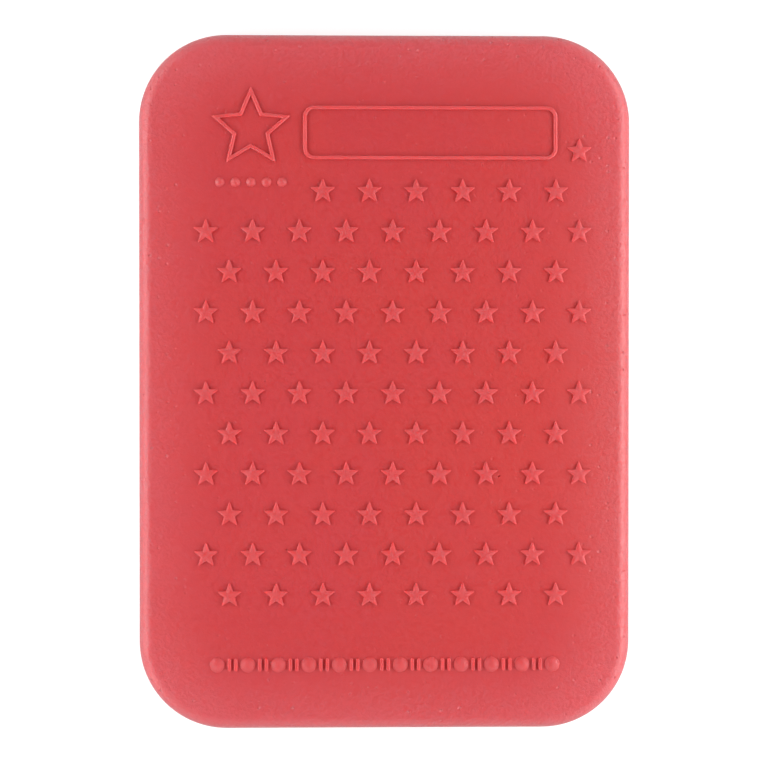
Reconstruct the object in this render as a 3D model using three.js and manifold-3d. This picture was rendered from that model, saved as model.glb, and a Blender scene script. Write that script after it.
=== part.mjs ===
// Pin badge board: a moulded rubber slab with rows of raised stars, into which the posts of badges are pushed.
// The board lies on its back, with +Z out of its front face, +Y towards its top edge and +X to its right.
// All sizes are in millimetres, and the origin is the middle of the back.

import * as THREE from 'three';
import { mergeVertices } from 'three/addons/utils/BufferGeometryUtils.js';
import Module from 'manifold-3d';

// Board
const BOARD_WIDTH = 178;
const BOARD_LENGTH = 251.5;
const BOARD_THICKNESS = 12.7; // from the back to the plain field of the face
const CORNER_RADIUS = 31.7;
const RIM_RADIUS = 5.2; // rounding of the front and back edges
const FACE_WALL = 3; // rubber between the field and the core

// Layers in the back
const PANEL_BORDER = 6; // rubber lip that shows round the back panel
const PANEL_THICKNESS = 2;
const PANEL_EDGE_CHAMFER = 0.4;
const LEDGE_WIDTH = 3; // step in the rubber that carries the panel's edge
const STIFFENER_THICKNESS = 1;
const GLUE_FILM = 0.1; // between one layer and the next
const FIT_GAP = 0.3; // round each layer that is let in

// Raised work on the face
const RELIEF_HEIGHT = 0.8;
const RELIEF_DRAFT = 0.12; // how far a flank leans in over the relief's height
const RELIEF_GAP = 2; // least plain rubber between a star and other relief
const OUTLINE_WIDTH = 1.3; // width of a raised line

// Stars
const STAR_POINTS = 5;
const STAR_RADIUS = 4.9;
const STAR_NOTCH_RADIUS = 2;
const STAR_PITCH = 16.83; // between neighbours, in a lattice of equal triangles
const STAR_GRID_SHIFT = 2.8; // the lattice's middle line lies this far right of the board's
const STAR_SIDE_MARGIN = 16.5; // least distance from a star's centre to the board's side
const STAR_TOP_MARGIN = 30; // the same to the top edge
const LOWEST_ROW_HEIGHT = 48.8; // from the lower edge to the lowest row

// Head of the board: an outlined star, a short row of beads below it and a blank outlined name panel
const EMBLEM_RADIUS = 15.2;
const EMBLEM_NOTCH_RADIUS = 7;
const EMBLEM_FROM_LEFT = 40.7;
const EMBLEM_FROM_TOP = 34.4;
const CAPTION_FROM_TOP = 53.7;
const CAPTION_LENGTH = 29;
const CAPTION_BEAD_RADIUS = 1.7;
const CAPTION_BEAD_PITCH = 5.6;
const NAME_PANEL_HEIGHT = 19.3;
const NAME_PANEL_CORNER = 4;
const NAME_PANEL_FROM_TOP = 35.8; // to the panel's middle line
const NAME_PANEL_FROM_RIGHT = 26.8; // to the panel's right end
const NAME_PANEL_GAP = 3.6; // from the outlined star to the panel's left end

// Foot of the board: a row of round beads with a pair of narrow reels between each two
const FOOT_FROM_BOTTOM = 23.7;
const FOOT_SIDE_MARGIN = 22.6; // least distance from the row's ends to the board's sides
const FOOT_BEAD_RADIUS = 2.7;
const FOOT_BEAD_PITCH = 11;
const REEL_WIDTH = 1.2;
const REEL_HEIGHT = 4.6;
const REEL_SPACING = 2.3; // between the middle lines of the two reels of a pair

// Smoothness of the faceted surfaces: steps in half of a board corner, in a rim and in half of a bead or small corner
const CORNER_STEPS = 6;
const RIM_STEPS = 4;
const BEAD_STEPS = 6;

// Finishes
const RED_RUBBER = { color: 0xce4648, roughness: 0.6, metalness: 0 };
const GREY_SPONGE = { color: 0x57585a, roughness: 0.9, metalness: 0 };
const WHITE_PLASTIC = { color: 0xe4e2da, roughness: 0.5, metalness: 0 };
const BLACK_PLASTIC = { color: 0x29292b, roughness: 0.55, metalness: 0 };

const wasm = await Module();
wasm.setup();

function solidFrom(geometry) {
  geometry.deleteAttribute('normal');
  geometry.deleteAttribute('uv');
  const welded = mergeVertices(geometry);
  const mesh = new wasm.Mesh({
    numProp: 3,
    vertProperties: new Float32Array(welded.attributes.position.array),
    triVerts: new Uint32Array(welded.index.array),
  });
  return new wasm.Manifold(mesh);
}

function geometryFrom(solid) {
  const mesh = solid.getMesh();
  const geometry = new THREE.BufferGeometry();
  geometry.setAttribute('position', new THREE.BufferAttribute(mesh.vertProperties, mesh.numProp));
  geometry.setIndex(new THREE.BufferAttribute(mesh.triVerts, 1));
  geometry.computeVertexNormals();
  return geometry;
}

// A rectangle with round corners, around a centre
function roundedRectangle(width, length, radius, centre = new THREE.Vector2()) {
  const right = centre.x + width / 2 - radius;
  const left = centre.x - width / 2 + radius;
  const top = centre.y + length / 2 - radius;
  const bottom = centre.y - length / 2 + radius;
  const outline = new THREE.Shape();
  outline.absarc(right, top, radius, 0, Math.PI / 2);
  outline.absarc(left, top, radius, Math.PI / 2, Math.PI);
  outline.absarc(left, bottom, radius, Math.PI, 1.5 * Math.PI);
  outline.absarc(right, bottom, radius, 1.5 * Math.PI, 2 * Math.PI);
  return outline;
}

// The board's own outline, drawn in from its edge
function boardOutline(inset) {
  const radius = Math.max(CORNER_RADIUS - inset, 0);
  return roundedRectangle(BOARD_WIDTH - 2 * inset, BOARD_LENGTH - 2 * inset, radius);
}

// A flat layer of the board between two heights, with its edges rounded if a radius is given
function layer(inset, low, high, edgeRadius = 0, edgeSteps = 1) {
  const geometry = new THREE.ExtrudeGeometry(boardOutline(inset), {
    depth: high - low - 2 * edgeRadius,
    bevelEnabled: edgeRadius > 0,
    bevelThickness: edgeRadius,
    bevelSize: edgeRadius,
    bevelOffset: -edgeRadius,
    bevelSegments: edgeSteps,
    curveSegments: CORNER_STEPS,
  });
  geometry.translate(0, 0, low + edgeRadius);
  return geometry;
}

// Raised work in the given outline: its flanks run on below the face, so that they join it in a clean line
function relief(outline) {
  const geometry = new THREE.ExtrudeGeometry(outline, {
    depth: RELIEF_HEIGHT,
    bevelThickness: 2 * RELIEF_HEIGHT,
    bevelSize: 2 * RELIEF_DRAFT,
    bevelOffset: -RELIEF_DRAFT,
    bevelSegments: 1,
    curveSegments: BEAD_STEPS,
  });
  geometry.translate(0, 0, BOARD_THICKNESS - 2 * RELIEF_HEIGHT);
  return solidFrom(geometry);
}

// The corners of a star with one point up, around a centre
function starPoints(tipRadius, notchRadius, centre) {
  const corners = [];
  for (let corner = 0; corner < 2 * STAR_POINTS; corner += 1) {
    const radius = corner % 2 === 0 ? tipRadius : notchRadius;
    const angle = Math.PI / 2 + (corner * Math.PI) / STAR_POINTS;
    corners.push(new THREE.Vector2(centre.x + radius * Math.cos(angle), centre.y + radius * Math.sin(angle)));
  }
  return corners;
}

// Every edge of a star lies equally far from its centre, so a line of even width is a star inside a scaled star
function starEdgeDistance(tipRadius, notchRadius) {
  const step = Math.PI / STAR_POINTS;
  const edge = Math.sqrt(tipRadius ** 2 + notchRadius ** 2 - 2 * tipRadius * notchRadius * Math.cos(step));
  return (tipRadius * notchRadius * Math.sin(step)) / edge;
}

// A solid raised star: its flanks lean in evenly, so each level of it is the same star drawn smaller
function raisedStar(centre) {
  const middle = new THREE.Vector2();
  const outline = new THREE.Shape(starPoints(STAR_RADIUS, STAR_NOTCH_RADIUS, middle));
  const geometry = new THREE.ExtrudeGeometry(outline, { depth: 2 * RELIEF_HEIGHT, bevelEnabled: false });
  geometry.translate(0, 0, -RELIEF_HEIGHT);
  const lean = RELIEF_DRAFT / starEdgeDistance(STAR_RADIUS, STAR_NOTCH_RADIUS);
  const corners = geometry.attributes.position;
  for (let index = 0; index < corners.count; index += 1) {
    const factor = 1 - (lean * corners.getZ(index)) / RELIEF_HEIGHT;
    corners.setX(index, factor * corners.getX(index));
    corners.setY(index, factor * corners.getY(index));
  }
  geometry.translate(centre.x, centre.y, BOARD_THICKNESS);
  return solidFrom(geometry);
}

function outlinedStar(tipRadius, notchRadius, centre) {
  const outline = new THREE.Shape(starPoints(tipRadius, notchRadius, centre));
  const inner = 1 - OUTLINE_WIDTH / starEdgeDistance(tipRadius, notchRadius);
  outline.holes.push(new THREE.Path(starPoints(inner * tipRadius, inner * notchRadius, centre)));
  return outline;
}

function outlinedPanel(width, height, radius, centre) {
  const outline = roundedRectangle(width, height, radius, centre);
  const innerRadius = Math.max(radius - OUTLINE_WIDTH, 0);
  const inner = roundedRectangle(width - 2 * OUTLINE_WIDTH, height - 2 * OUTLINE_WIDTH, innerRadius, centre);
  outline.holes.push(inner);
  return outline;
}

function bead(radius, centre) {
  const outline = new THREE.Shape();
  outline.absarc(centre.x, centre.y, radius, 0, 2 * Math.PI);
  return outline;
}

function reel(centre) {
  const halfWidth = REEL_WIDTH / 2;
  const halfHeight = REEL_HEIGHT / 2;
  return new THREE.Shape([
    new THREE.Vector2(centre.x - halfWidth, centre.y - halfHeight),
    new THREE.Vector2(centre.x + halfWidth, centre.y - halfHeight),
    new THREE.Vector2(centre.x + halfWidth, centre.y + halfHeight),
    new THREE.Vector2(centre.x - halfWidth, centre.y + halfHeight),
  ]);
}

// The centres of as many equal steps as fit in a length, spread evenly about a middle
function rowOfCentres(length, beadRadius, pitch, middle) {
  const steps = Math.max(Math.floor((length - 2 * beadRadius) / pitch), 0);
  const centres = [];
  for (let index = 0; index <= steps; index += 1) {
    centres.push(new THREE.Vector2(middle.x + (index - steps / 2) * pitch, middle.y));
  }
  return centres;
}

// The board's edges, seen from the front
const rightEdge = BOARD_WIDTH / 2;
const topEdge = BOARD_LENGTH / 2;

// Places at the head and the foot
const emblemCentre = new THREE.Vector2(EMBLEM_FROM_LEFT - rightEdge, topEdge - EMBLEM_FROM_TOP);
const captionCentre = new THREE.Vector2(emblemCentre.x, topEdge - CAPTION_FROM_TOP);
const namePanelLeft = emblemCentre.x + EMBLEM_RADIUS + NAME_PANEL_GAP;
const namePanelRight = rightEdge - NAME_PANEL_FROM_RIGHT;
const namePanelWidth = namePanelRight - namePanelLeft;
const namePanelCentre = new THREE.Vector2((namePanelLeft + namePanelRight) / 2, topEdge - NAME_PANEL_FROM_TOP);
const footCentre = new THREE.Vector2(0, FOOT_FROM_BOTTOM - topEdge);

// Areas that the lattice of stars leaves free
const starReach = STAR_RADIUS + RELIEF_GAP;

function keptFree(centre, width, height) {
  const size = new THREE.Vector2(width + 2 * starReach, height + 2 * starReach);
  return new THREE.Box2().setFromCenterAndSize(centre, size);
}

const freeAreas = [
  keptFree(emblemCentre, 2 * EMBLEM_RADIUS, 2 * EMBLEM_RADIUS),
  keptFree(captionCentre, CAPTION_LENGTH, 2 * CAPTION_BEAD_RADIUS),
  keptFree(namePanelCentre, namePanelWidth, NAME_PANEL_HEIGHT),
  keptFree(footCentre, BOARD_WIDTH - 2 * FOOT_SIDE_MARGIN, 2 * FOOT_BEAD_RADIUS),
];

// The lattice: rows from the lowest up, the lowest one short, and every second row half a pitch aside
function starCentres() {
  const rowPitch = STAR_PITCH * Math.sin(Math.PI / 3);
  const halfSpan = rightEdge - STAR_SIDE_MARGIN - STAR_GRID_SHIFT;
  const longRow = Math.floor((2 * halfSpan) / STAR_PITCH) + 1;
  const lowest = LOWEST_ROW_HEIGHT - topEdge;
  const highest = topEdge - STAR_TOP_MARGIN;
  const centres = [];
  for (let row = 0; lowest + row * rowPitch <= highest; row += 1) {
    const count = row % 2 === 0 ? longRow - 1 : longRow;
    for (let column = 0; column < count; column += 1) {
      const across = STAR_GRID_SHIFT + (column - (count - 1) / 2) * STAR_PITCH;
      const centre = new THREE.Vector2(across, lowest + row * rowPitch);
      if (!freeAreas.some((area) => area.containsPoint(centre))) {
        centres.push(centre);
      }
    }
  }
  return centres;
}

function footOutlines() {
  const rowLength = BOARD_WIDTH - 2 * FOOT_SIDE_MARGIN;
  const beads = rowOfCentres(rowLength, FOOT_BEAD_RADIUS, FOOT_BEAD_PITCH, footCentre);
  const outlines = beads.map((centre) => bead(FOOT_BEAD_RADIUS, centre));
  for (const centre of beads.slice(1)) {
    const between = centre.x - FOOT_BEAD_PITCH / 2;
    outlines.push(reel(new THREE.Vector2(between - REEL_SPACING / 2, centre.y)));
    outlines.push(reel(new THREE.Vector2(between + REEL_SPACING / 2, centre.y)));
  }
  return outlines;
}

// All the raised work on the face
function raisedWork() {
  const captionBeads = rowOfCentres(CAPTION_LENGTH, CAPTION_BEAD_RADIUS, CAPTION_BEAD_PITCH, captionCentre);
  const outlines = [
    outlinedStar(EMBLEM_RADIUS, EMBLEM_NOTCH_RADIUS, emblemCentre),
    ...captionBeads.map((centre) => bead(CAPTION_BEAD_RADIUS, centre)),
    outlinedPanel(namePanelWidth, NAME_PANEL_HEIGHT, NAME_PANEL_CORNER, namePanelCentre),
    ...footOutlines(),
  ];
  return [...starCentres().map(raisedStar), ...outlines.map(relief)];
}

// Heights of the layers, from the back
const ledgeHeight = PANEL_THICKNESS + GLUE_FILM;
const stiffenerTop = ledgeHeight + STIFFENER_THICKNESS;
const coreBottom = stiffenerTop + GLUE_FILM;
const pocketTop = BOARD_THICKNESS - FACE_WALL;
const coreTop = pocketTop - GLUE_FILM;
const pocketInset = PANEL_BORDER + LEDGE_WIDTH;

// The rubber moulding: face, rim, walls and relief in one, with a pocket and a stepped mouth at the back.
// Each cutter reaches as far behind the back as into it, so that it opens the back cleanly.
function faceShell() {
  const slab = solidFrom(layer(0, 0, BOARD_THICKNESS, RIM_RADIUS, RIM_STEPS));
  const raised = raisedWork().reduce((whole, solid) => whole.add(solid), slab);
  const pocket = solidFrom(layer(pocketInset, -pocketTop, pocketTop));
  const mouth = solidFrom(layer(PANEL_BORDER, -ledgeHeight, ledgeHeight));
  return geometryFrom(raised.subtract(pocket).subtract(mouth));
}

function piece(name, geometry, finish) {
  const mesh = new THREE.Mesh(geometry, new THREE.MeshStandardMaterial(finish));
  mesh.name = name;
  return mesh;
}

const stiffener = layer(pocketInset + FIT_GAP, ledgeHeight, stiffenerTop);
const core = layer(pocketInset + FIT_GAP, coreBottom, coreTop);
const backPanel = layer(PANEL_BORDER + FIT_GAP, 0, PANEL_THICKNESS, PANEL_EDGE_CHAMFER);

const board = new THREE.Group();
board.add(piece('face_shell', faceShell(), RED_RUBBER));
board.add(piece('pin_core', core, GREY_SPONGE));
board.add(piece('stiffener_sheet', stiffener, WHITE_PLASTIC));
board.add(piece('back_panel', backPanel, BLACK_PLASTIC));

export default board;
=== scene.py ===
# Pin badge board: a soft red board that takes the posts of badges, lying on its back on a white table.
import math

import bmesh
import bpy
from mathutils import Matrix, Vector


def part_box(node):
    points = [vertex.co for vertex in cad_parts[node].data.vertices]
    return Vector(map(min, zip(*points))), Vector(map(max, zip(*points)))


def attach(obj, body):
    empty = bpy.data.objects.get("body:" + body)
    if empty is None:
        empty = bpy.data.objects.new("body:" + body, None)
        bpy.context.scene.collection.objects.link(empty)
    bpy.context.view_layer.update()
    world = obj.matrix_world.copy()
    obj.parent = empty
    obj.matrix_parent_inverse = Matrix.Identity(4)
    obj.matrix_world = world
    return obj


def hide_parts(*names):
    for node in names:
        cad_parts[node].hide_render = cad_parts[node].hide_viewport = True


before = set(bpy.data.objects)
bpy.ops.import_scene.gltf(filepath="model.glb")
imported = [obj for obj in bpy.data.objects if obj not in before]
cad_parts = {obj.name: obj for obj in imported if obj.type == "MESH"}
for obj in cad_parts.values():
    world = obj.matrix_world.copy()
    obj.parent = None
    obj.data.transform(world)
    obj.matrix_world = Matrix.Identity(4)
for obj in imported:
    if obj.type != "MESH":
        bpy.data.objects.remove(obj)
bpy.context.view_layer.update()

# Face shell, slab: the board's body, pressed from solid red rubber in a two-part mould.
# Its rim is rounded front and back, with a fine groove round the side where the halves of the mould met,
# and a stepped pocket in the back takes the layers that are glued in.
MM = 0.001
UP = Vector((0, 0, 1))
SAME_WAY = 0.99
ROUND_PROFILE = 0.5
CORNER_RADIUS = 31.7 * MM
CORNER_STEPS = 28
RIM_RADIUS = 5.2 * MM
RIM_STEPS = 10
RELIEF_HEIGHT = 0.8 * MM
FIT_GAP = 0.3 * MM
GLUE_FILM = 0.1 * MM
LIP_RADIUS = 0.5 * MM
LIP_STEPS = 3
PARTING_WIDTH = 0.5 * MM
PARTING_DEPTH = 0.15 * MM
PARTING_FLANK = 0.1 * MM

shell_low, shell_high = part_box("face_shell")
core_low, core_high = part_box("pin_core")
panel_low, panel_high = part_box("back_panel")
field_height = shell_high.z - RELIEF_HEIGHT
lip_width = shell_high.x - panel_high.x - FIT_GAP
ledge_width = panel_high.x - core_high.x
ledge_height = panel_high.z + GLUE_FILM
pocket_height = core_high.z + GLUE_FILM


def round_off(mesh, parts, radius, steps, affect="EDGES"):
    """Rounds edges to a radius, or, where it affects VERTICES, the corners of a flat outline."""
    bmesh.ops.bevel(
        mesh,
        geom=parts,
        offset=radius,
        offset_type="OFFSET",
        segments=steps,
        profile=ROUND_PROFILE,
        affect=affect,
        material=-1,
    )
    mesh.normal_update()


def rounded_block(low, high, radius, steps):
    """A block between the two corners of its box, with its upright edges rounded."""
    block = bmesh.new()
    bmesh.ops.create_cube(block, size=1)
    bmesh.ops.scale(block, vec=high - low, verts=block.verts)
    bmesh.ops.translate(block, vec=(low + high) / 2, verts=block.verts)
    uprights = [edge for edge in block.edges if edge.verts[0].co.z != edge.verts[1].co.z]
    round_off(block, uprights, radius, steps)
    return block


def flat_face(mesh, direction):
    """The largest face that looks in a direction."""
    facing = [face for face in mesh.faces if face.normal.dot(direction) > SAME_WAY]
    return max(facing, key=lambda face: face.calc_area())


def top_and_bottom_edges(block):
    """The edges round the top and the bottom of a block."""
    return list(flat_face(block, UP).edges) + list(flat_face(block, -UP).edges)


def cut_round(mesh, height):
    """Cuts a line round the side of a block at a height."""
    everything = [*mesh.verts, *mesh.edges, *mesh.faces]
    bmesh.ops.bisect_plane(mesh, geom=everything, plane_co=height * UP, plane_no=UP)
    mesh.normal_update()


def draw_in(mesh, face, inset):
    """Draws a smaller copy of a flat face inside it."""
    bmesh.ops.inset_individual(mesh, faces=[face], thickness=inset, use_even_offset=True)


def push(mesh, face, distance):
    """Moves a flat face up or down and gives it walls."""
    moved = bmesh.ops.extrude_discrete_faces(mesh, faces=[face])["faces"][0]
    bmesh.ops.translate(mesh, vec=distance * UP, verts=moved.verts)
    return moved


slab_high = Vector((shell_high.x, shell_high.y, field_height))
shell = rounded_block(shell_low, slab_high, CORNER_RADIUS, CORNER_STEPS)
round_off(shell, top_and_bottom_edges(shell), RIM_RADIUS, RIM_STEPS)

parting_height = (shell_low.z + field_height) / 2
parting_low = parting_height - PARTING_WIDTH / 2
parting_high = parting_height + PARTING_WIDTH / 2
cut_round(shell, parting_low)
cut_round(shell, parting_high)
parting = [face for face in shell.faces if parting_low < face.calc_center_median().z < parting_high]
bmesh.ops.inset_region(
    shell, faces=parting, thickness=PARTING_FLANK, depth=-PARTING_DEPTH, use_even_offset=True
)
shell.normal_update()

back = flat_face(shell, -UP)
draw_in(shell, back, lip_width - RIM_RADIUS)
lip_edges = list(back.edges)
back = push(shell, back, ledge_height)
draw_in(shell, back, ledge_width)
push(shell, back, pocket_height - ledge_height)
round_off(shell, lip_edges, LIP_RADIUS, LIP_STEPS)
bmesh.ops.delete(shell, geom=[flat_face(shell, UP)], context="FACES_ONLY")

# Face shell, stars: rows of small raised stars, moulded in one with the face as marks to set badges by.
# Each rises from a hollow foot, leans in a little so that it leaves the mould, and has a soft crowned top.
# They keep clear of the relief at the head of the board, so the places of that relief stand here too.
STAR_POINTS = 5
STAR_RADIUS = 4.9 * MM
STAR_NOTCH_RADIUS = 2.0 * MM
STAR_TIP_ROUNDING = 0.8 * MM
STAR_NOTCH_ROUNDING = 0.3 * MM
STAR_CORNER_STEPS = 3
STAR_PITCH = 16.83 * MM
STAR_GRID_SHIFT = 2.8 * MM
STAR_SIDE_MARGIN = 16.5 * MM
STAR_TOP_MARGIN = 30 * MM
LOWEST_ROW_HEIGHT = 48.8 * MM
STAR_CROWN = 0.16 * MM
STAR_CROWN_REACH = 1.1 * MM
CROWN_STEPS = 3
RELIEF_GAP = 2 * MM
FOOT_RADIUS = 0.1 * MM
FLANK_LEAN = 0.05 * MM
TOP_EDGE_RADIUS = 0.06 * MM
ARC_STEPS = 2
BIG_STAR_RADIUS = 15.2 * MM
BIG_STAR_NOTCH_RADIUS = 7 * MM
BIG_STAR_FROM_LEFT = 40.7 * MM
BIG_STAR_FROM_TOP = 34.4 * MM
HEAD_BEADS_FROM_TOP = 53.7 * MM
HEAD_BEADS_LENGTH = 29 * MM
HEAD_BEAD_RADIUS = 1.7 * MM
NAME_PANEL_HEIGHT = 19.3 * MM
NAME_PANEL_FROM_TOP = 35.8 * MM
NAME_PANEL_FROM_RIGHT = 26.8 * MM
NAME_PANEL_GAP = 3.6 * MM

big_star_centre = Vector((shell_low.x + BIG_STAR_FROM_LEFT, shell_high.y - BIG_STAR_FROM_TOP))
head_beads_centre = Vector((big_star_centre.x, shell_high.y - HEAD_BEADS_FROM_TOP))
panel_left = big_star_centre.x + BIG_STAR_RADIUS + NAME_PANEL_GAP
panel_right = shell_high.x - NAME_PANEL_FROM_RIGHT
name_panel_centre = Vector(((panel_left + panel_right) / 2, shell_high.y - NAME_PANEL_FROM_TOP))
star_reach = STAR_RADIUS + RELIEF_GAP
kept_free = [
    (big_star_centre, Vector((BIG_STAR_RADIUS, BIG_STAR_RADIUS))),
    (head_beads_centre, Vector((HEAD_BEADS_LENGTH / 2, HEAD_BEAD_RADIUS))),
    (name_panel_centre, Vector(((panel_right - panel_left) / 2, NAME_PANEL_HEIGHT / 2))),
]


def is_free(centre):
    """Whether a star fits here, clear of the relief at the head of the board."""
    for middle, half in kept_free:
        away = centre - middle
        if abs(away.x) <= half.x + star_reach and abs(away.y) <= half.y + star_reach:
            return False
    return True


def star_centres():
    """A lattice of equal triangles: rows from the lowest up, the lowest one short."""
    row_pitch = STAR_PITCH * math.sin(math.pi / 3)
    half_span = shell_high.x - STAR_SIDE_MARGIN - STAR_GRID_SHIFT
    long_row = math.floor(2 * half_span / STAR_PITCH) + 1
    lowest = shell_low.y + LOWEST_ROW_HEIGHT
    rows = math.floor((shell_high.y - STAR_TOP_MARGIN - lowest) / row_pitch) + 1
    centres = []
    for row in range(rows):
        count = long_row - 1 + row % 2
        for column in range(count):
            across = STAR_GRID_SHIFT + (column - (count - 1) / 2) * STAR_PITCH
            centres.append(Vector((across, lowest + row * row_pitch)))
    return [centre for centre in centres if is_free(centre)]


def arc(steps):
    """Sines and cosines of the steps of a quarter turn, from its start to its end."""
    turns = [math.pi / 2 * step / steps for step in range(steps + 1)]
    return [(math.sin(turn), math.cos(turn)) for turn in turns]


def flank_rings(edge_radius, crown=0, crown_reach=0):
    """Rings up a moulded flank, as pairs of distance in from the base line and height.
    They follow a hollow foot, a leaning side, a round top edge and, where there is one, a crowned top."""
    edge_height = RELIEF_HEIGHT - crown - edge_radius
    rings = [(FOOT_RADIUS * sine, FOOT_RADIUS * (1 - cosine)) for sine, cosine in arc(ARC_STEPS)[1:]]
    shoulder = FOOT_RADIUS + FLANK_LEAN
    for sine, cosine in arc(ARC_STEPS):
        rings.append((shoulder + edge_radius * (1 - cosine), edge_height + edge_radius * sine))
    if crown:
        rim_inset, rim_height = rings[-1]
        for step in range(1, CROWN_STEPS + 1):
            short_of_top = 1 - step / CROWN_STEPS
            inset = rim_inset + crown_reach * (1 - short_of_top)
            height = rim_height + crown * (1 - short_of_top**2)
            rings.append((inset, height))
    return rings


def star_edge_distance(tip_radius, notch_radius):
    """Every edge of a star lies this far from its middle."""
    step = math.pi / STAR_POINTS
    edge = math.sqrt(tip_radius**2 + notch_radius**2 - 2 * tip_radius * notch_radius * math.cos(step))
    return tip_radius * notch_radius * math.sin(step) / edge


def star_face(tip_radius, notch_radius):
    """A flat star about the origin, with one point up and its corners rounded."""
    star = bmesh.new()
    bmesh.ops.create_circle(star, cap_ends=True, segments=2 * STAR_POINTS, radius=tip_radius)
    corners = list(star.verts)
    tips, notches = corners[::2], corners[1::2]
    share = notch_radius / tip_radius
    bmesh.ops.scale(star, vec=(share, share, 1), verts=notches)
    round_off(star, tips, STAR_TIP_ROUNDING, STAR_CORNER_STEPS, affect="VERTICES")
    notches = sorted(star.verts, key=lambda corner: corner.co.length)[:STAR_POINTS]
    round_off(star, notches, STAR_NOTCH_ROUNDING, STAR_CORNER_STEPS, affect="VERTICES")
    star.faces.ensure_lookup_table()
    return star, star.faces[0]


def raise_by_scale(mesh, face, rings, edge_distance):
    """Raises a flat outline about the origin through the rings of a flank, drawing it smaller at each."""
    last_inset, last_height = 0, 0
    for inset, height in rings:
        face = push(mesh, face, height - last_height)
        shrink = (edge_distance - inset) / (edge_distance - last_inset)
        bmesh.ops.scale(mesh, vec=(shrink, shrink, 1), verts=face.verts)
        last_inset, last_height = inset, height


def raised_star(tip_radius, notch_radius, rings):
    """A star that rises through the rings of a flank, with its foot spread beyond its own size."""
    edge_distance = star_edge_distance(tip_radius, notch_radius)
    foot_scale = 1 + FOOT_RADIUS / edge_distance
    star, base = star_face(tip_radius * foot_scale, notch_radius * foot_scale)
    raise_by_scale(star, base, rings, edge_distance + FOOT_RADIUS)
    return star


def stamp(pattern, centres):
    """Sets a copy of a raised pattern on the face of the shell at each centre."""
    copy = bpy.data.meshes.new("relief_pattern")
    last_spot = Vector((0, 0, 0))
    for centre in centres:
        spot = Vector((centre.x, centre.y, field_height))
        bmesh.ops.translate(pattern, vec=spot - last_spot, verts=pattern.verts)
        pattern.to_mesh(copy)
        shell.from_mesh(copy)
        last_spot = spot
    pattern.free()
    bpy.data.meshes.remove(copy)


star_rings = flank_rings(TOP_EDGE_RADIUS, STAR_CROWN, STAR_CROWN_REACH)
stamp(raised_star(STAR_RADIUS, STAR_NOTCH_RADIUS, star_rings), star_centres())

# Face shell, head and foot: an outlined star, a row of beads and a blank name panel above the stars,
# and a bead and reel moulding below them, all raised as high as the stars.
OUTLINE_WIDTH = 1.3 * MM
OUTLINE_EDGE_RADIUS = 0.35 * MM
BEAD_STEPS = 24
BEAD_CROWN = 0.5 * MM
HEAD_BEAD_PITCH = 5.6 * MM
NAME_PANEL_CORNER = 4 * MM
PANEL_CORNER_STEPS = 8
FOOT_FROM_BOTTOM = 23.7 * MM
FOOT_SIDE_MARGIN = 22.6 * MM
FOOT_BEAD_RADIUS = 2.7 * MM
FOOT_BEAD_PITCH = 11 * MM
REEL_WIDTH = 1.2 * MM
REEL_HEIGHT = 4.6 * MM
REEL_SPACING = 2.3 * MM
REEL_EDGE_RADIUS = 0.2 * MM
SAME_POINT = 0.01 * MM


def outline_rings():
    """Rings up one side of a raised line and down the other."""
    rising = flank_rings(OUTLINE_EDGE_RADIUS)
    across = OUTLINE_WIDTH + 2 * FOOT_RADIUS
    falling = [(across - inset, height) for inset, height in reversed(rising)]
    return rising + falling + [(across, 0)]


def rectangle_face(width, height, radius, steps):
    """A flat rectangle about the origin with round corners."""
    rectangle = bmesh.new()
    bmesh.ops.create_grid(rectangle, x_segments=1, y_segments=1, size=0.5)
    bmesh.ops.scale(rectangle, vec=(width, height, 1), verts=rectangle.verts)
    round_off(rectangle, rectangle.verts[:], radius, steps, affect="VERTICES")
    bmesh.ops.remove_doubles(rectangle, verts=rectangle.verts, dist=SAME_POINT)
    rectangle.faces.ensure_lookup_table()
    return rectangle, rectangle.faces[0]


def raised_rectangle(width, height, radius, rings):
    """A rectangle that rises through the rings of a flank, with its foot spread beyond its own size.
    Each ring is drawn in evenly from the one before."""
    rectangle, face = rectangle_face(
        width + 2 * FOOT_RADIUS, height + 2 * FOOT_RADIUS, radius + FOOT_RADIUS, PANEL_CORNER_STEPS
    )
    last_inset, last_level = 0, 0
    for inset, level in rings:
        bmesh.ops.inset_individual(
            rectangle,
            faces=[face],
            thickness=inset - last_inset,
            depth=level - last_level,
            use_even_offset=True,
        )
        last_inset, last_level = inset, level
    return rectangle


def raised_bead(radius):
    """A round bead with a domed top."""
    bead = bmesh.new()
    base_radius = radius + FOOT_RADIUS
    bmesh.ops.create_circle(bead, cap_ends=True, segments=BEAD_STEPS, radius=base_radius)
    bead.faces.ensure_lookup_table()
    crown_reach = base_radius - FOOT_RADIUS - FLANK_LEAN - 2 * TOP_EDGE_RADIUS
    rings = flank_rings(TOP_EDGE_RADIUS, BEAD_CROWN, crown_reach)
    raise_by_scale(bead, bead.faces[0], rings, base_radius)
    return bead


def row_of_centres(length, radius, pitch, middle):
    """As many equal steps as fit in a length, spread evenly about a middle."""
    steps = math.floor((length - 2 * radius) / pitch)
    return [middle + Vector(((index - steps / 2) * pitch, 0)) for index in range(steps + 1)]


stamp(raised_star(BIG_STAR_RADIUS, BIG_STAR_NOTCH_RADIUS, outline_rings()), [big_star_centre])

head_beads = row_of_centres(HEAD_BEADS_LENGTH, HEAD_BEAD_RADIUS, HEAD_BEAD_PITCH, head_beads_centre)
stamp(raised_bead(HEAD_BEAD_RADIUS), head_beads)

name_panel_width = panel_right - panel_left
name_panel = raised_rectangle(name_panel_width, NAME_PANEL_HEIGHT, NAME_PANEL_CORNER, outline_rings())
stamp(name_panel, [name_panel_centre])

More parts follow.
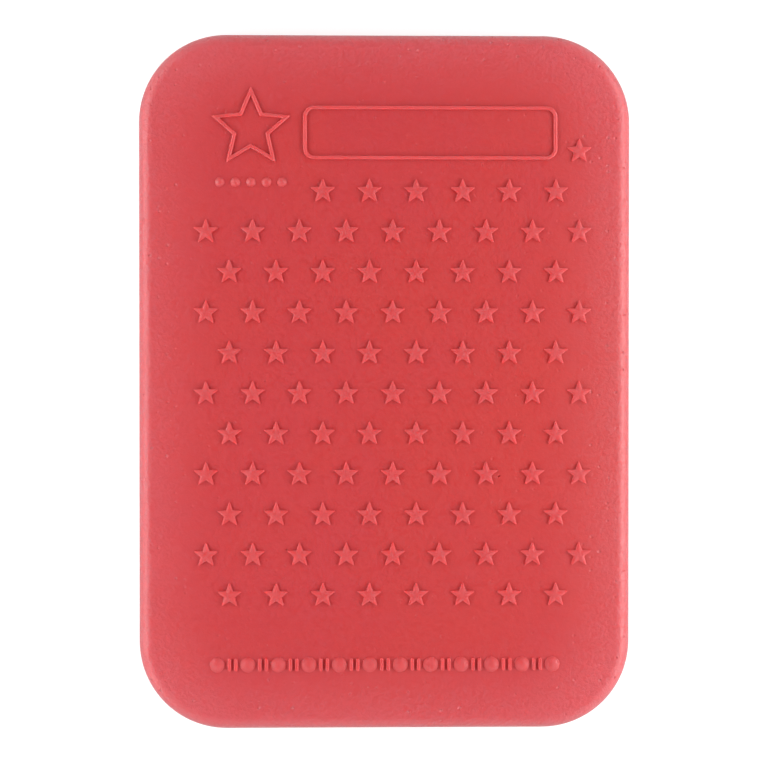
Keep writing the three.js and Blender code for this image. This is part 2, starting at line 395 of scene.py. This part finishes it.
foot_length = shell_high.x - shell_low.x - 2 * FOOT_SIDE_MARGIN
foot_centre = Vector((0, shell_low.y + FOOT_FROM_BOTTOM))
foot_beads = row_of_centres(foot_length, FOOT_BEAD_RADIUS, FOOT_BEAD_PITCH, foot_centre)
stamp(raised_bead(FOOT_BEAD_RADIUS), foot_beads)

reel_centres = []
for foot_bead in foot_beads[1:]:
    between_beads = foot_bead - Vector((FOOT_BEAD_PITCH / 2, 0))
    reel_centres.append(between_beads - Vector((REEL_SPACING / 2, 0)))
    reel_centres.append(between_beads + Vector((REEL_SPACING / 2, 0)))
reel_rings = flank_rings(REEL_EDGE_RADIUS)
stamp(raised_rectangle(REEL_WIDTH, REEL_HEIGHT, REEL_WIDTH / 2, reel_rings), reel_centres)

# Face shell, pricks: three small holes that pins have left in the plain field between the stars.
# Rubber closes round a post, so each is a narrow dent with a dark bottom.
# Each is listed by its place across and along the board, its half length, its half width and its turn.
PRICK_STEPS = 12
PRICK_DEPTH = 1.1 * MM
PRICK_MOUTH = 0.08 * MM
PRICKS = (
    (41.2 * MM, -34.0 * MM, 0.75 * MM, 0.30 * MM, math.radians(35)),
    (-35.6 * MM, -60.4 * MM, 0.32 * MM, 0.28 * MM, 0),
    (-43.2 * MM, 0.4 * MM, 0.34 * MM, 0.28 * MM, 0),
)

for across, along, half_length, half_width, turn in PRICKS:
    prick = bmesh.new()
    bmesh.ops.create_circle(prick, cap_ends=True, segments=PRICK_STEPS, radius=half_width)
    prick.faces.ensure_lookup_table()
    prick_rings = [(PRICK_MOUTH, -PRICK_MOUTH), (2 * PRICK_MOUTH, -PRICK_DEPTH)]
    raise_by_scale(prick, prick.faces[0], prick_rings, half_width)
    bmesh.ops.scale(prick, vec=(half_length / half_width, 1, 1), verts=prick.verts)
    bmesh.ops.rotate(prick, matrix=Matrix.Rotation(turn, 3, "Z"), verts=prick.verts)
    stamp(prick, [Vector((across, along))])

# Face shell, field and rubber: the plain face between the raised work closes the moulding.
# The rubber is coloured through, matte from the mould's fine grain, and polished where it is handled most,
# its raised tops paler from that polish and from painted sheen.
# Towards the rim it is paler with painted sheen and dented by small pits, and down the side it is darker
# with painted shade.
RED_WARM = (0.622, 0.0170, 0.0140, 1)
RED_COOL = (0.600, 0.0150, 0.0260, 1)
# Raised tops: a paler red for wear from handling and for painted sheen.
RED_POLISH_AND_SHEEN = (0.685, 0.060, 0.066, 1)
# Painted shade: a darker, greyer red down the side of the board, where less light falls.
RED_SIDE_SHADE = (0.530, 0.062, 0.077, 1)
RED_DUSTY = (0.720, 0.160, 0.165, 1)
# Painted sheen: paler, whiter reds that the face turns to near the rim, in patches.
PAINTED_SHEEN_COOL = (0.685, 0.062, 0.080, 1)
PAINTED_SHEEN_WARM = (0.665, 0.066, 0.072, 1)
SHEEN_CORNER = 45 * MM
SHEEN_REACH = 32 * MM
SHEEN_SHIFT = Vector((1.5 * MM, 0, 0))
SHEEN_CURVE = 1.6
SHEEN_PATCHES = (0.75, 1.25)
# Painted warm light: the red turns warmer towards this spot on the right of the face.
WARM_LIGHT_SPOT = Vector((55 * MM, -5 * MM, field_height))
WARM_LIGHT_REACH = 150 * MM
WARMTH_SHARE = 0.5
RAISED_START = 0.3 * RELIEF_HEIGHT
RAISED_END = 0.9 * RELIEF_HEIGHT
SIDE_SHADE_START = 0.5 * MM
SIDE_SHADE_END = 3.2 * MM
POLISH_DEPTH = 0.6 * MM
RAISED_POLISH = 0.06
RIM_POLISH = 0.18
RUBBER_ROUGHNESS = (0.54, 0.66)
RUBBER_IOR = 1.8
RUBBER_GRAIN = 1.3 * MM
RUBBER_MOTTLE = 32 * MM
RUBBER_BUMP = 0.6
RUBBER_BUMP_DEPTH = 0.14 * MM
RIM_GRAIN_START = 0.3
RIM_GRAIN_SHARES = (0.3, 1.7)
RUBBER_SPECK_SPACING = 7 * MM
RUBBER_SPECK_RADIUS = 0.4 * MM
RUBBER_SPECK_SHARE = 0.5
PIT_SPACING = 3.0 * MM
PIT_RADIUS = 0.75 * MM
PIT_DEPTH_IN_GRAINS = 4.2
SCATTER_WEIGHT = 0.9
SCATTER_RADII = (1.0, 0.15, 0.12)
SCATTER_DEPTH = 2.0 * MM
FINE_DETAIL = 3.0
FINE_ROUGHNESS = 0.65
FINE_SPAN = (0.3, 0.7)
CLOUD_DETAIL = 5.0
CLOUD_ROUGHNESS = 0.62
CLOUD_SPAN = (0.32, 0.68)
SPECK_CHANCE_SPAN = (0.6, 0.8)
FLOAT, VECTOR = "NodeSocketFloat", "NodeSocketVector"
MIX_SHARE, FIRST_COLOUR, SECOND_COLOUR, MIXED_COLOUR = 0, 6, 7, 2


def close_field(mesh):
    """Closes the level face between a mesh's outlines, in millimetres, which the fill handles better."""
    outlines = [edge for edge in mesh.edges if len(edge.link_faces) < 2]
    bmesh.ops.scale(mesh, vec=Vector((1, 1, 1)) / MM, verts=mesh.verts)
    bmesh.ops.triangle_fill(mesh, use_beauty=True, use_dissolve=False, edges=outlines, normal=UP)
    bmesh.ops.scale(mesh, vec=Vector((1, 1, 1)) * MM, verts=mesh.verts)


def feed(tree, node, inputs):
    """Sets a node's inputs, each to a plain value or to the output that feeds it."""
    for name, value in inputs.items():
        if isinstance(value, bpy.types.NodeSocket):
            tree.links.new(value, node.inputs[name])
        else:
            node.inputs[name].default_value = value


def add_node(tree, kind, inputs=None, **settings):
    """Adds a shader node with its settings and inputs."""
    node = tree.nodes.new(kind)
    for name, value in settings.items():
        setattr(node, name, value)
    feed(tree, node, inputs or {})
    return node


def combine(tree, operation, first, second):
    """One step of arithmetic on two values."""
    return add_node(tree, "ShaderNodeMath", {0: first, 1: second}, operation=operation).outputs[0]


def move(tree, operation, place, other=(0, 0, 0)):
    """One step of arithmetic on a place."""
    inputs = {0: place, 1: other}
    return add_node(tree, "ShaderNodeVectorMath", inputs, operation=operation).outputs["Vector"]


def distance_to(tree, place, other=(0, 0, 0)):
    """How far a place is from another."""
    inputs = {0: place, 1: other}
    return add_node(tree, "ShaderNodeVectorMath", inputs, operation="DISTANCE").outputs["Value"]


def spread(tree, value, low, high, out_low=0.0, out_high=1.0):
    """Maps a value's span from low to high onto another span, easing in and out of it."""
    inputs = {"Value": value, "From Min": low, "From Max": high, "To Min": out_low, "To Max": out_high}
    node = add_node(tree, "ShaderNodeMapRange", inputs, interpolation_type="SMOOTHSTEP")
    return node.outputs["Result"]


def fade(tree, value, low, high):
    """One where a value is low, and nothing where it is high."""
    return spread(tree, value, low, high, 1.0, 0.0)


def between(tree, share, low, high):
    """A value that goes from low to high as a share goes from nothing to one."""
    return spread(tree, share, 0.0, 1.0, low, high)


def mix_colour(tree, share, first, second):
    """The first colour, turned into the second by a share."""
    inputs = {MIX_SHARE: share, FIRST_COLOUR: first, SECOND_COLOUR: second}
    return add_node(tree, "ShaderNodeMix", inputs, data_type="RGBA").outputs[MIXED_COLOUR]


def noise(tree, place, size, detail, roughness):
    """Cloudy noise with patches of a size."""
    scale = combine(tree, "DIVIDE", 1.0, size)
    inputs = {"Vector": place, "Scale": scale, "Detail": detail, "Roughness": roughness}
    return add_node(tree, "ShaderNodeTexNoise", inputs).outputs["Fac"]


def bumped(tree, height, strength, depth):
    """The normal of a surface whose height varies over a depth."""
    inputs = {"Height": height, "Strength": strength, "Distance": depth}
    return add_node(tree, "ShaderNodeBump", inputs).outputs["Normal"]


def new_group(name, inputs, outputs):
    """A shader node group with named sockets, and its input and output nodes."""
    group = bpy.data.node_groups.new(name, "ShaderNodeTree")
    for socket, kind in inputs:
        group.interface.new_socket(socket, in_out="INPUT", socket_type=kind)
    for socket, kind in outputs:
        group.interface.new_socket(socket, in_out="OUTPUT", socket_type=kind)
    return group, group.nodes.new("NodeGroupInput"), group.nodes.new("NodeGroupOutput")


def use_group(tree, group, inputs):
    """Places a shader node group and gives its outputs."""
    return add_node(tree, "ShaderNodeGroup", inputs, node_tree=group).outputs


def new_material(name):
    """A material with its node tree, its shader and its object coordinates."""
    material = bpy.data.materials.new(name)
    material.use_nodes = True
    tree = material.node_tree
    place = add_node(tree, "ShaderNodeTexCoord").outputs["Object"]
    return material, tree, tree.nodes["Principled BSDF"], place


def put_in_scene(name, data):
    """Makes an object of its data."""
    item = bpy.data.objects.new(name, data)
    bpy.context.scene.collection.objects.link(item)
    return item


def mesh_object(name, mesh, material):
    """Makes an object of a mesh in one material."""
    data = bpy.data.meshes.new(name)
    mesh.to_mesh(data)
    mesh.free()
    data.materials.append(material)
    return put_in_scene(name, data)


def finished_piece(name, mesh, material):
    """Makes a piece of a mesh, smooth over its curves and level over its flats."""
    bmesh.ops.recalc_face_normals(mesh, faces=mesh.faces)
    piece = mesh_object(name, mesh, material)
    piece.data.shade_smooth()
    piece.modifiers.new("level_flats", "WEIGHTED_NORMAL")
    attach(piece, "root")
    return piece


close_field(shell)

grain_group, grain_in, grain_out = new_group(
    "moulded_grain",
    [("Place", VECTOR), ("Grain Size", FLOAT), ("Mottle Size", FLOAT)],
    [("Height", FLOAT), ("Mottle", FLOAT)],
)
group_in = grain_in.outputs
fine = noise(grain_group, group_in["Place"], group_in["Grain Size"], FINE_DETAIL, FINE_ROUGHNESS)
clouds = noise(grain_group, group_in["Place"], group_in["Mottle Size"], CLOUD_DETAIL, CLOUD_ROUGHNESS)
grain_height = spread(grain_group, fine, *FINE_SPAN)
mottle = spread(grain_group, clouds, *CLOUD_SPAN)
feed(grain_group, grain_out, {"Height": grain_height, "Mottle": mottle})

specks_group, specks_in, specks_out = new_group(
    "scattered_specks",
    [("Place", VECTOR), ("Spacing", FLOAT), ("Radius", FLOAT)],
    [("Specks", FLOAT)],
)
group_in = specks_in.outputs
speck_scale = combine(specks_group, "DIVIDE", 1.0, group_in["Spacing"])
cell_inputs = {"Vector": group_in["Place"], "Scale": speck_scale, "Randomness": 1.0}
cells = add_node(specks_group, "ShaderNodeTexVoronoi", cell_inputs).outputs
cell_chance = add_node(specks_group, "ShaderNodeSeparateColor", {"Color": cells["Color"]}).outputs["Red"]
speck_edge = combine(specks_group, "MULTIPLY", group_in["Radius"], speck_scale)
speck_shape = fade(specks_group, cells["Distance"], 0.0, speck_edge)
speck_kept = spread(specks_group, cell_chance, *SPECK_CHANCE_SPAN)
feed(specks_group, specks_out, {"Specks": combine(specks_group, "MULTIPLY", speck_shape, speck_kept)})

rubber, tree, shader, place = new_material("red_moulded_rubber")
grain = use_group(
    tree, grain_group, {"Place": place, "Grain Size": RUBBER_GRAIN, "Mottle Size": RUBBER_MOTTLE}
)
speck_inputs = {"Place": place, "Spacing": RUBBER_SPECK_SPACING, "Radius": RUBBER_SPECK_RADIUS}
specks = use_group(tree, specks_group, speck_inputs)["Specks"]
pit_inputs = {"Place": place, "Spacing": PIT_SPACING, "Radius": PIT_RADIUS}
pits = use_group(tree, specks_group, pit_inputs)["Specks"]

height = add_node(tree, "ShaderNodeSeparateXYZ", {"Vector": place}).outputs["Z"]
raised = spread(tree, height, field_height + RAISED_START, field_height + RAISED_END)
# Painted shade: a mask down the side of the board, below the rim.
painted_side_shade = fade(tree, height, field_height - SIDE_SHADE_END, field_height - SIDE_SHADE_START)
on_rim = fade(tree, height, field_height - POLISH_DEPTH, field_height)
# Painted warm light: a mask that grows towards the right of the face.
painted_warm_light = fade(tree, distance_to(tree, place, WARM_LIGHT_SPOT), 0.0, WARM_LIGHT_REACH)
tone_and_warm_light = combine(tree, "MULTIPLY", combine(tree, "ADD", grain["Mottle"], painted_warm_light), WARMTH_SHARE)

# Painted sheen: a mask that grows towards the rim and the corners, broken into patches by the grain.
sheen_corner = Vector((shell_high.x - SHEEN_CORNER, shell_high.y - SHEEN_CORNER, shell_high.z))
one_quarter = move(tree, "ABSOLUTE", move(tree, "ADD", place, SHEEN_SHIFT))
outward = move(tree, "MAXIMUM", move(tree, "SUBTRACT", one_quarter, sheen_corner))
rim_inputs = {
    "Value": distance_to(tree, outward),
    "From Min": SHEEN_CORNER - SHEEN_REACH,
    "From Max": SHEEN_CORNER,
}
near_rim = add_node(tree, "ShaderNodeMapRange", rim_inputs).outputs["Result"]
painted_sheen = combine(tree, "POWER", near_rim, SHEEN_CURVE)
painted_sheen = combine(tree, "MULTIPLY", painted_sheen, between(tree, grain["Height"], *SHEEN_PATCHES))
painted_sheen_colour = mix_colour(tree, painted_warm_light, PAINTED_SHEEN_COOL, PAINTED_SHEEN_WARM)

# The red varies with its random mottle and with painted warm light towards the right.
colour = mix_colour(tree, tone_and_warm_light, RED_COOL, RED_WARM)
# Raised tops turn paler: polish from handling and painted sheen.
colour = mix_colour(tree, raised, colour, RED_POLISH_AND_SHEEN)
# Painted sheen: the face turns paler near the rim.
colour = mix_colour(tree, painted_sheen, colour, painted_sheen_colour)
# Painted shade: the side of the board turns darker.
colour = mix_colour(tree, painted_side_shade, colour, RED_SIDE_SHADE)
colour = mix_colour(tree, combine(tree, "MULTIPLY", specks, RUBBER_SPECK_SHARE), colour, RED_DUSTY)
raised_polish = combine(tree, "MULTIPLY", raised, RAISED_POLISH)
polish = combine(tree, "ADD", raised_polish, combine(tree, "MULTIPLY", on_rim, RIM_POLISH))
roughness = combine(tree, "SUBTRACT", between(tree, grain["Height"], *RUBBER_ROUGHNESS), polish)
pitted = combine(tree, "SUBTRACT", grain["Height"], combine(tree, "MULTIPLY", pits, PIT_DEPTH_IN_GRAINS))
grain_share = spread(tree, near_rim, RIM_GRAIN_START, 1.0, *RIM_GRAIN_SHARES)
surface = combine(tree, "MULTIPLY", pitted, grain_share)
normal = bumped(tree, surface, RUBBER_BUMP, RUBBER_BUMP_DEPTH)
feed(tree, shader, {"Base Color": colour, "Roughness": roughness, "Normal": normal, "IOR": RUBBER_IOR})
feed(tree, shader, {
    "Subsurface Weight": SCATTER_WEIGHT,
    "Subsurface Radius": SCATTER_RADII,
    "Subsurface Scale": SCATTER_DEPTH,
})

rubber_face = finished_piece("rubber_face", shell, rubber)
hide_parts("face_shell")

# Pin core: a slab of soft sponge rubber that fills the pocket and takes the points of the badge posts.
# It is cut from sheet, so its faces are open cells and its edges are soft, and it is glued to the face.
SPONGE = (0.085, 0.087, 0.092, 1)
# Painted shade in the pores of the cells, and random darker patches.
SPONGE_SHADE_AND_TONE = (0.030, 0.031, 0.034, 1)
SPONGE_CELL = 1.6 * MM
SPONGE_GRAIN = SPONGE_CELL / 3
SPONGE_MOTTLE = 40 * MM
SPONGE_ROUGHNESS = (0.85, 0.98)
SPONGE_BUMP = 0.8
SPONGE_BUMP_DEPTH = 0.3 * MM
PORE_SPAN = (0.1, 0.6)
CORE_EDGE_RADIUS = 0.8 * MM
EDGE_STEPS = 3


def let_in_layer(low, high, edge_radius):
    """A layer of the board's own outline, with softened edges."""
    radius = CORNER_RADIUS - (shell_high.x - high.x)
    block = rounded_block(low, high, radius, CORNER_STEPS)
    round_off(block, top_and_bottom_edges(block), edge_radius, EDGE_STEPS)
    return block


sponge, tree, shader, place = new_material("grey_sponge_rubber")
grain = use_group(
    tree, grain_group, {"Place": place, "Grain Size": SPONGE_GRAIN, "Mottle Size": SPONGE_MOTTLE}
)
pores = add_node(tree, "ShaderNodeTexVoronoi", {"Vector": place, "Scale": 1 / SPONGE_CELL})
pore_wall = spread(tree, pores.outputs["Distance"], *PORE_SPAN)
# Painted shade: darker in the pores of the open cells, and in random mottled patches.
colour = mix_colour(tree, combine(tree, "MULTIPLY", pore_wall, grain["Mottle"]), SPONGE_SHADE_AND_TONE, SPONGE)
roughness = between(tree, grain["Height"], *SPONGE_ROUGHNESS)
normal = bumped(tree, pore_wall, SPONGE_BUMP, SPONGE_BUMP_DEPTH)
feed(tree, shader, {"Base Color": colour, "Roughness": roughness, "Normal": normal})

sponge_core = finished_piece("sponge_core", let_in_layer(core_low, core_high, CORE_EDGE_RADIUS), sponge)
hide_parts("pin_core")

# Stiffener sheet: a thin white plastic sheet behind the core, which keeps the soft board flat.
# It is cut from rolled sheet, so its faces have faint lines along the roll.
# It is glued between the core and the panel.
SHEET_WHITE = (0.760, 0.745, 0.690, 1)
SHEET_SHADE = (0.690, 0.675, 0.620, 1)
SHEET_EDGE_RADIUS = 0.12 * MM
SHEET_MOTTLE = 60 * MM
SHEET_ROUGHNESS = (0.42, 0.55)
ROLL_LINE_WIDTH = 1.2 * MM
ROLL_LINE_STRETCH = 0.02
ROLL_BUMP = 0.2
ROLL_BUMP_DEPTH = 0.03 * MM

sheet_low, sheet_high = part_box("stiffener_sheet")
sheet_plastic, tree, shader, place = new_material("white_sheet_plastic")
roll_inputs = {"Vector": place, "Scale": (1, ROLL_LINE_STRETCH, 1)}
along_roll = add_node(tree, "ShaderNodeMapping", roll_inputs).outputs["Vector"]
sheet_sizes = {"Grain Size": ROLL_LINE_WIDTH, "Mottle Size": SHEET_MOTTLE}
grain = use_group(tree, grain_group, {"Place": place, **sheet_sizes})
roll = use_group(tree, grain_group, {"Place": along_roll, **sheet_sizes})
colour = mix_colour(tree, grain["Mottle"], SHEET_SHADE, SHEET_WHITE)
roughness = between(tree, roll["Height"], *SHEET_ROUGHNESS)
normal = bumped(tree, roll["Height"], ROLL_BUMP, ROLL_BUMP_DEPTH)
feed(tree, shader, {"Base Color": colour, "Roughness": roughness, "Normal": normal})

sheet = let_in_layer(sheet_low, sheet_high, SHEET_EDGE_RADIUS)
stiffener = finished_piece("stiffener", sheet, sheet_plastic)
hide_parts("stiffener_sheet")

# Back panel: the black plastic cover that closes the back and keeps the points of pins from coming through.
# It is die cut from grained sheet and lies flush with the rubber lip round it, lightly scuffed by tables.
# It is glued to the ledge and the stiffener.
PANEL_BLACK = (0.020, 0.020, 0.022, 1)
PANEL_WORN = (0.050, 0.050, 0.053, 1)
PANEL_EDGE_RADIUS = 0.4 * MM
PANEL_GRAIN = 1.1 * MM
PANEL_MOTTLE = 45 * MM
PANEL_MOTTLE_SHARE = 0.35
PANEL_ROUGHNESS = (0.62, 0.48)
PANEL_BUMP = 0.45
PANEL_BUMP_DEPTH = 0.1 * MM
PANEL_SPECK_SPACING = 9 * MM
PANEL_SPECK_RADIUS = 0.5 * MM
PEBBLE_SPAN = (0.15, 0.75)
SCUFF_WIDTH = 1.5 * MM
SCUFF_TURN = math.radians(65)
SCUFF_STRETCH = 20
SCUFF_DETAIL = 1.0
SCUFF_WANDER = 0.4
SCUFF_SPAN = (0.70, 0.78)
SCUFF_SHARE = 0.6

panel_plastic, tree, shader, place = new_material("black_grained_plastic")
grain = use_group(
    tree, grain_group, {"Place": place, "Grain Size": PANEL_GRAIN, "Mottle Size": PANEL_MOTTLE}
)
speck_inputs = {"Place": place, "Spacing": PANEL_SPECK_SPACING, "Radius": PANEL_SPECK_RADIUS}
specks = use_group(tree, specks_group, speck_inputs)["Specks"]
pebble_inputs = {"Vector": place, "Scale": 1 / PANEL_GRAIN}
pebbles = add_node(tree, "ShaderNodeTexVoronoi", pebble_inputs, feature="SMOOTH_F1")
pebble_top = fade(tree, pebbles.outputs["Distance"], *PEBBLE_SPAN)

turned_inputs = {"Vector": place, "Rotation": (0, 0, SCUFF_TURN), "Scale": (SCUFF_STRETCH, 1, 1)}
along_scuffs = add_node(tree, "ShaderNodeMapping", turned_inputs, vector_type="TEXTURE").outputs["Vector"]
streak_inputs = {
    "Vector": along_scuffs,
    "Scale": 1 / SCUFF_WIDTH,
    "Detail": SCUFF_DETAIL,
    "Distortion": SCUFF_WANDER,
}
streaks = add_node(tree, "ShaderNodeTexNoise", streak_inputs).outputs["Fac"]
scuffs = combine(tree, "MULTIPLY", spread(tree, streaks, *SCUFF_SPAN), SCUFF_SHARE)
worn = combine(tree, "MAXIMUM", specks, scuffs)

mottle = combine(tree, "MULTIPLY", grain["Mottle"], PANEL_MOTTLE_SHARE)
colour = mix_colour(tree, mottle, PANEL_BLACK, PANEL_WORN)
colour = mix_colour(tree, worn, colour, PANEL_WORN)
roughness = between(tree, pebble_top, *PANEL_ROUGHNESS)
normal = bumped(tree, pebble_top, PANEL_BUMP, PANEL_BUMP_DEPTH)
feed(tree, shader, {"Base Color": colour, "Roughness": roughness, "Normal": normal})

cover = finished_piece("back_cover", let_in_layer(panel_low, panel_high, PANEL_EDGE_RADIUS), panel_plastic)
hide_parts("back_panel")

# Table: a plain white top that the board lies on, wide enough to fill every view.
# It shows white to the camera and keeps the soft shadow under the board's edge.
# It is open under the flat of the board's back and clear from below, so that the back can be seen.
WHITE = (1, 1, 1, 1)
TABLE_SIZE = 12.0
TABLE_PAINT = (0.62, 0.62, 0.62, 1)
TABLE_ROUGHNESS = 0.9
TABLE_LIFT = 0.56
FAR_LIFT = 0.42
FAR_START = 0.20
FAR_END = 0.38


def to_camera(tree):
    """One for what the camera sees straight, and otherwise nothing."""
    return add_node(tree, "ShaderNodeLightPath").outputs["Is Camera Ray"]


def seen_directly(tree):
    """One for what the camera sees straight, in a reflection or through glass, and otherwise nothing."""
    path = add_node(tree, "ShaderNodeLightPath").outputs
    mirrored = combine(tree, "MAXIMUM", path["Is Glossy Ray"], path["Is Transmission Ray"])
    return combine(tree, "MAXIMUM", to_camera(tree), mirrored)


table_paint, tree, shader, place = new_material("white_table_paint")
far = spread(tree, distance_to(tree, place), FAR_START, FAR_END, 0.0, FAR_LIFT)
far = combine(tree, "MULTIPLY", far, to_camera(tree))
near = combine(tree, "MULTIPLY", seen_directly(tree), TABLE_LIFT)
feed(tree, shader, {
    "Base Color": TABLE_PAINT,
    "Roughness": TABLE_ROUGHNESS,
    "Emission Color": WHITE,
    "Emission Strength": combine(tree, "ADD", near, far),
})
clear = add_node(tree, "ShaderNodeBsdfTransparent").outputs["BSDF"]
from_below = add_node(tree, "ShaderNodeNewGeometry").outputs["Backfacing"]
one_sided = add_node(tree, "ShaderNodeMixShader", {0: from_below, 1: shader.outputs["BSDF"], 2: clear})
feed(tree, tree.nodes["Material Output"], {"Surface": one_sided.outputs["Shader"]})

flat_width = 2 * (shell_high.x - RIM_RADIUS)
flat_length = 2 * (shell_high.y - RIM_RADIUS)
table_mesh = rectangle_face(flat_width, flat_length, CORNER_RADIUS - RIM_RADIUS, CORNER_STEPS)[0]
bmesh.ops.create_grid(table_mesh, x_segments=1, y_segments=1, size=TABLE_SIZE / 2)
bmesh.ops.delete(table_mesh, geom=table_mesh.faces[:], context="FACES_ONLY")
close_field(table_mesh)
table_mesh.normal_update()
facing_down = [face for face in table_mesh.faces if face.normal.z < 0]
bmesh.ops.reverse_faces(table_mesh, faces=facing_down)
table = mesh_object("table_top", table_mesh, table_paint)

# Light tent: four glowing walls round the board, out of the camera's sight, the right one the brightest.
# The room beyond them is pale at its walls, dark overhead, and white where the camera looks straight at it.
# Each wall is listed by its name, its middle, its length, its rise and its power.
TENT_WALLS = (
    ("right_wall", Vector((0.38, 0.00, 0.23)), 0.72, 0.28, 3.2),
    ("left_wall", Vector((-0.38, 0.00, 0.23)), 0.72, 0.28, 2.75),
    ("foot_wall", Vector((0.00, -0.44, 0.22)), 0.90, 0.30, 1.36),
    ("head_wall", Vector((0.00, 0.44, 0.22)), 0.90, 0.30, 0.86),
)
ROOM_WALLS = 0.95
ROOM_CEILING = 0.02
ROOM_WALL_TOP = 0.25
ROOM_GLOW = 0.2

for name, middle, length, rise, power in TENT_WALLS:
    lamp = bpy.data.lights.new(name, "AREA")
    lamp.shape = "RECTANGLE"
    lamp.size = length
    lamp.size_y = rise
    lamp.energy = power
    wall = put_in_scene(name, lamp)
    wall.location = middle
    inward = Vector((-middle.x, -middle.y, 0))
    wall.rotation_euler = inward.to_track_quat("-Z", "Y").to_euler()
    wall.visible_camera = False

room = bpy.data.worlds.new("pale_room")
bpy.context.scene.world = room
room.use_nodes = True
tree = room.node_tree
direction = add_node(tree, "ShaderNodeTexCoord").outputs["Generated"]
upward = add_node(tree, "ShaderNodeSeparateXYZ", {"Vector": direction}).outputs["Z"]
brightness = spread(tree, upward, 0.0, ROOM_WALL_TOP, ROOM_WALLS, ROOM_CEILING)
brightness = combine(tree, "MULTIPLY", brightness, between(tree, seen_directly(tree), ROOM_GLOW, 1.0))
brightness = combine(tree, "MAXIMUM", brightness, to_camera(tree))
feed(tree, tree.nodes["Background"], {"Color": WHITE, "Strength": brightness})

# Camera: above the board and all but square to it, with the slight lean of the photograph.
# It is framed as the photograph is, with the board a little above the middle.
PHOTO_SIDE_PX = 767
BOARD_WIDTH_PX = 489.3
BOARD_CENTRE_PX = (384.7, 382.1)
VIEW_LEAN = Vector((-0.021, 0.011, 1))
LENS = 85.0
SENSOR = 36.0

pixel = (shell_high.x - shell_low.x) / BOARD_WIDTH_PX
camera_distance = PHOTO_SIDE_PX * pixel * LENS / SENSOR
aim = Vector((
    (PHOTO_SIDE_PX / 2 - BOARD_CENTRE_PX[0]) * pixel,
    (BOARD_CENTRE_PX[1] - PHOTO_SIDE_PX / 2) * pixel,
    field_height - RIM_RADIUS,
))
lens = bpy.data.cameras.new("camera")
lens.lens = LENS
lens.sensor_width = SENSOR
camera = put_in_scene("camera", lens)
camera.location = aim + camera_distance * VIEW_LEAN.normalized()
camera.rotation_euler = UP.rotation_difference(VIEW_LEAN).to_euler()
bpy.context.scene.camera = camera
bpy.context.scene.view_settings.view_transform = "Standard"
